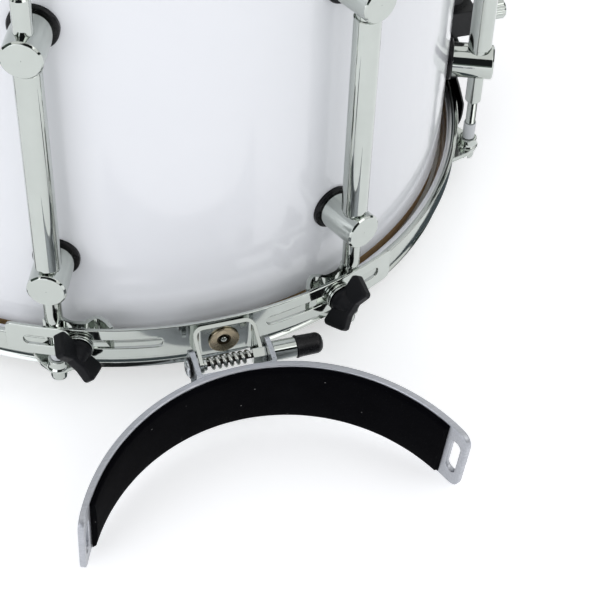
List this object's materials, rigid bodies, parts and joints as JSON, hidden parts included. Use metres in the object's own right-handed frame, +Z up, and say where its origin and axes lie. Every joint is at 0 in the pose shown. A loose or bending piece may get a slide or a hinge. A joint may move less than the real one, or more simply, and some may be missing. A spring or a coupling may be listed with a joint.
{
  "type": "marching snare drum",
  "caption": "White marching snare drum with tube lugs, chromed hoops, a side strainer with a wide strap and a folding, padded leg rest clamped to the front tension rods.",
  "frame": {"origin": "centre of the outer face of the upper, batter head", "axes": "+Z up along the drum's axis towards the batter head, -Y out towards the leg rest and the player, +X towards the strainer"},
  "size_m": [0.409, 0.4846, 0.2811],
  "materials": {
    "maple": "bare maple plies, satin",
    "white_finish": "glossy white wrap",
    "film": "coated drumhead film",
    "flesh_aluminium": "extruded aluminium, plain",
    "chrome": "polished chrome plate",
    "steel": "bright zinc-plated steel",
    "black_metal": "black powder coat",
    "black_strap": "glossy black plastic sheet",
    "black_plastic": "moulded black nylon",
    "rubber": "matte black rubber",
    "plate_aluminium": "silver lacquered aluminium",
    "felt": "black felt"
  },
  "bodies": {
    "drum": {"shell": "maple", "shell_finish": "white_finish", "snare_head": "film", "batter_head": "film", "snare_flesh_hoop": "flesh_aluminium", "batter_flesh_hoop": "flesh_aluminium", "air_vent": "chrome", "snare_hoop": "chrome", "batter_hoop": "chrome", "snare_rod_1": "chrome", "snare_rod_2": "chrome", "snare_rod_3": "chrome", "snare_rod_4": "chrome", "snare_rod_5": "chrome", "snare_rod_6": "chrome", "snare_rod_7": "chrome", "snare_rod_8": "chrome", "batter_rod_1": "chrome", "batter_rod_2": "chrome", "batter_rod_3": "chrome", "batter_rod_4": "chrome", "batter_rod_5": "chrome", "batter_rod_6": "chrome", "batter_rod_7": "chrome", "batter_rod_8": "chrome", "lug_1": "chrome", "lug_2": "chrome", "lug_3": "chrome", "lug_4": "chrome", "lug_5": "chrome", "lug_6": "chrome", "lug_7": "chrome", "lug_8": "chrome", "butt_clamp": "chrome", "leg_rest_band": "chrome", "clamp_hook_left": "chrome", "clamp_hook_right": "chrome", "washer_pair_left": "chrome", "washer_pair_right": "chrome", "hinge_bracket": "chrome", "snare_wires": "steel", "bracket_rivet": "steel", "release_spring": "steel", "strainer_block": "black_metal", "butt_plate": "black_metal", "butt_strap": "black_strap"},
    "leg_rest": {"rest_yoke": "steel", "rest_plate": "plate_aluminium", "rest_pad": "felt"},
    "release_button": {"release_axle": "chrome", "release_cap": "rubber", "axle_nut": "steel"},
    "wing_left": {"wing_screw_left": "black_plastic"},
    "wing_right": {"wing_screw_right": "black_plastic"},
    "strainer_lever": {"strainer_lever": "chrome"},
    "strainer_carriage": {"strainer_carriage": "black_metal", "strainer_clamp": "chrome", "strainer_strap": "black_strap"},
    "knob_front": {"tension_knob_front": "chrome"},
    "knob_rear": {"tension_knob_rear": "chrome"}
  },
  "joints": [
    {"name": "leg_rest_fold", "type": "hinge", "parent": "drum", "child": "leg_rest", "pos_m": [0.0032, -0.215, -0.2337], "axis": [1, 0, 0], "range_deg": [-60, 60]},
    {"name": "release_push", "type": "slide", "parent": "drum", "child": "release_button", "axis": [-1, 0, 0], "range_m": [0, 0.004], "stiffness_N_per_m": 1500, "springref_m": -0.002, "deforming": ["release_spring"]},
    {"name": "wing_left_turn", "type": "hinge", "parent": "drum", "child": "wing_left", "pos_m": [-0.0664, -0.19395, -0.23075], "axis": [-0.3239, -0.9461, 0], "continuous": true},
    {"name": "wing_right_turn", "type": "hinge", "parent": "drum", "child": "wing_right", "pos_m": [0.0664, -0.19395, -0.23075], "axis": [0.3239, -0.9461, 0], "continuous": true},
    {"name": "strainer_throw", "type": "hinge", "parent": "drum", "child": "strainer_lever", "pos_m": [0.1965, 0, -0.1308], "axis": [0, -1, 0], "range_deg": [0, 80]},
    {"name": "carriage_slide", "type": "slide", "parent": "drum", "child": "strainer_carriage", "axis": [0, 0, -1], "range_m": [0, 0.005]},
    {"name": "knob_front_turn", "type": "hinge", "parent": "strainer_carriage", "child": "knob_front", "pos_m": [0.2, -0.021, -0.2033], "axis": [1, 0, 0], "continuous": true},
    {"name": "knob_rear_turn", "type": "hinge", "parent": "strainer_carriage", "child": "knob_rear", "pos_m": [0.2, 0.021, -0.2033], "axis": [1, 0, 0], "continuous": true}
  ],
  "couplings": [
    {"joint": "carriage_slide", "follows": "strainer_throw", "m_per_rad": 0.00358}
  ]
}
